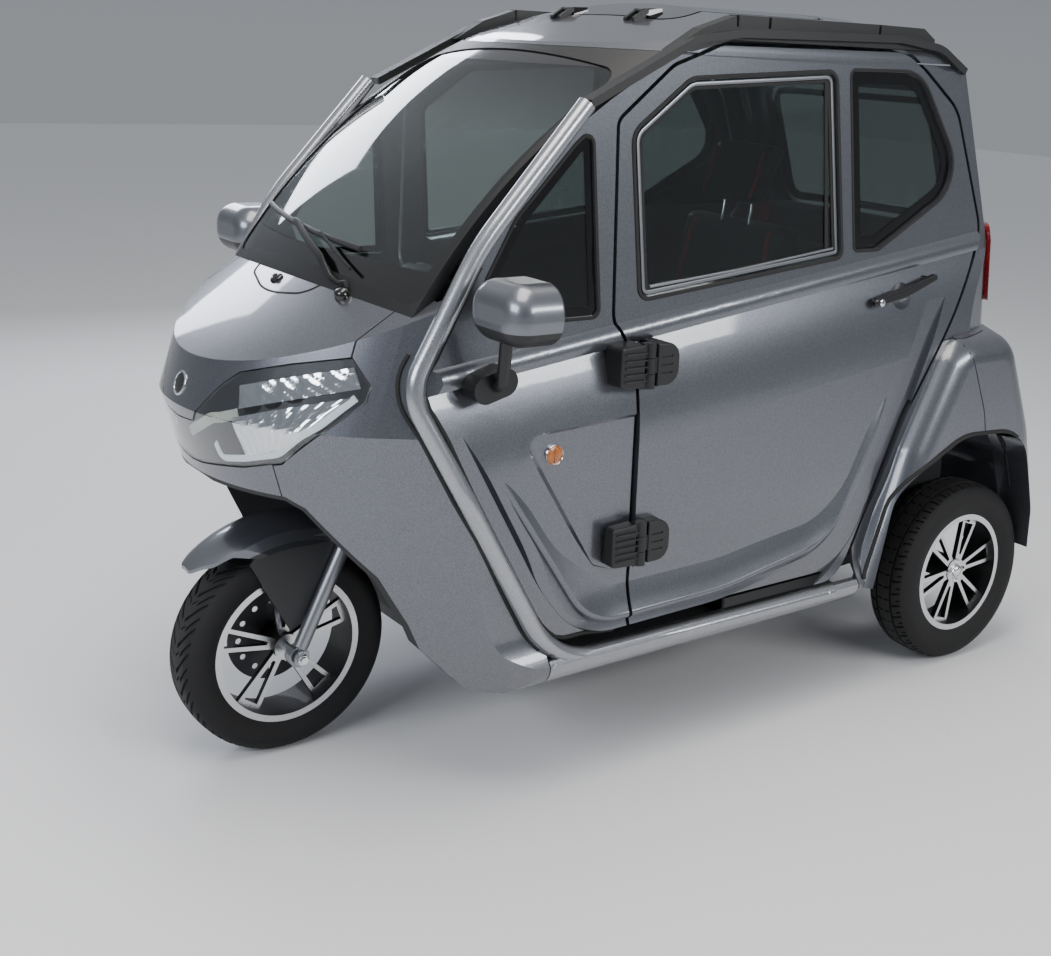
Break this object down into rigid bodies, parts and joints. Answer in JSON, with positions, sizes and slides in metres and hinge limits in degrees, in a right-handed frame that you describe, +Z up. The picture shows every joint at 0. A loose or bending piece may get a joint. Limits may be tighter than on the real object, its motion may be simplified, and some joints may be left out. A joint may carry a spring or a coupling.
{
  "type": "three wheeled car",
  "caption": "Small closed cabin car on a steered front wheel and a pair of rear wheels, with front-hinged doors, bowed windscreen, roof rails, tinted roof hatch and handlebar steering",
  "frame": {"origin": "on the ground, in the middle of the bounding box", "axes": "+X to the vehicle's left, -Y to its front, +Z up"},
  "size_m": [1.438, 2.2815, 1.7165],
  "materials": {
    "body_paint": "metallic silver grey gloss",
    "silver_trim": "silver gloss",
    "black_trim": "satin black",
    "clear_glass": "clear tinted",
    "roof_glass": "dark tinted gloss",
    "lamp_lens": "clear lens over bright reflectors",
    "smoked_lens": "smoked translucent",
    "red_lens": "red lens",
    "tyre_rubber": "rubber",
    "alloy": "machined and black",
    "black_steel": "black paint",
    "dark_panel": "grained",
    "battery_case": "black",
    "seat_cover": "black with red trim"
  },
  "bodies": {
    "body": {"side_panel_left": "body_paint", "side_panel_right": "body_paint", "quarter_glass": "clear_glass", "roof_panel": "body_paint", "windscreen_frame": "black_trim", "windscreen": "clear_glass", "nose_cowl": "body_paint", "headlamps": "lamp_lens", "front_band": "smoked_lens", "nose_lip": "body_paint", "front_panel_left": "body_paint", "front_panel_right": "body_paint", "side_mouldings": "silver_trim", "rear_panel": "body_paint", "rear_glass": "clear_glass", "tail_lamps": "red_lens", "rear_quarter_left": "body_paint", "rear_quarter_right": "body_paint", "rear_bumper": "body_paint", "leg_shield": "dark_panel", "chassis_frame": "black_steel", "rear_axle": "black_steel", "floor_pan": "dark_panel", "battery_pack": "battery_case", "dashboard": "black_trim", "driver_seat": "seat_cover", "rear_seat": "seat_cover", "roof_rails": "black_trim", "mirrors": "black_trim", "wiper": "black_trim", "hinge_brackets": "black_trim", "hatch_hinges": "black_trim"},
    "left_door": {"door_left": "body_paint", "door_glass_left": "clear_glass", "door_handle_left": "black_trim", "hinge_leaves_left": "black_trim"},
    "right_door": {"door_right": "body_paint", "door_glass_right": "clear_glass", "door_handle_right": "black_trim", "hinge_leaves_right": "black_trim"},
    "hatch": {"roof_hatch": "roof_glass"},
    "steering": {"fork": "black_steel", "front_fender": "black_trim", "handlebar": "black_steel"},
    "front_wheel": {"front_tyre": "tyre_rubber", "front_rim": "alloy"},
    "left_rear_wheel": {"rear_tyre_left": "tyre_rubber", "rear_rim_left": "alloy"},
    "right_rear_wheel": {"rear_tyre_right": "tyre_rubber", "rear_rim_right": "alloy"}
  },
  "joints": [
    {"name": "left_door_hinge", "type": "hinge", "parent": "body", "child": "left_door", "pos_m": [0.541, -0.293, 0.7295], "axis": [0, 0, -1], "range_deg": [0, 65]},
    {"name": "right_door_hinge", "type": "hinge", "parent": "body", "child": "right_door", "pos_m": [-0.541, -0.293, 0.7295], "axis": [0, 0, 1], "range_deg": [0, 65]},
    {"name": "hatch_hinge", "type": "hinge", "parent": "body", "child": "hatch", "pos_m": [0, -0.056, 1.692], "axis": [1, 0, 0], "range_deg": [0, 20]},
    {"name": "steering_pivot", "type": "hinge", "parent": "body", "child": "steering", "pos_m": [0, -0.86992, 0.23008], "axis": [0, 0.4305, 0.9026], "range_deg": [-38, 38]},
    {"name": "front_wheel_spin", "type": "hinge", "parent": "steering", "child": "front_wheel", "pos_m": [0, -0.897, 0.243], "axis": [1, 0, 0], "continuous": true},
    {"name": "left_rear_wheel_spin", "type": "hinge", "parent": "body", "child": "left_rear_wheel", "pos_m": [0.48, 0.847, 0.247], "axis": [1, 0, 0], "continuous": true},
    {"name": "right_rear_wheel_spin", "type": "hinge", "parent": "body", "child": "right_rear_wheel", "pos_m": [-0.48, 0.847, 0.247], "axis": [1, 0, 0], "continuous": true}
  ]
}
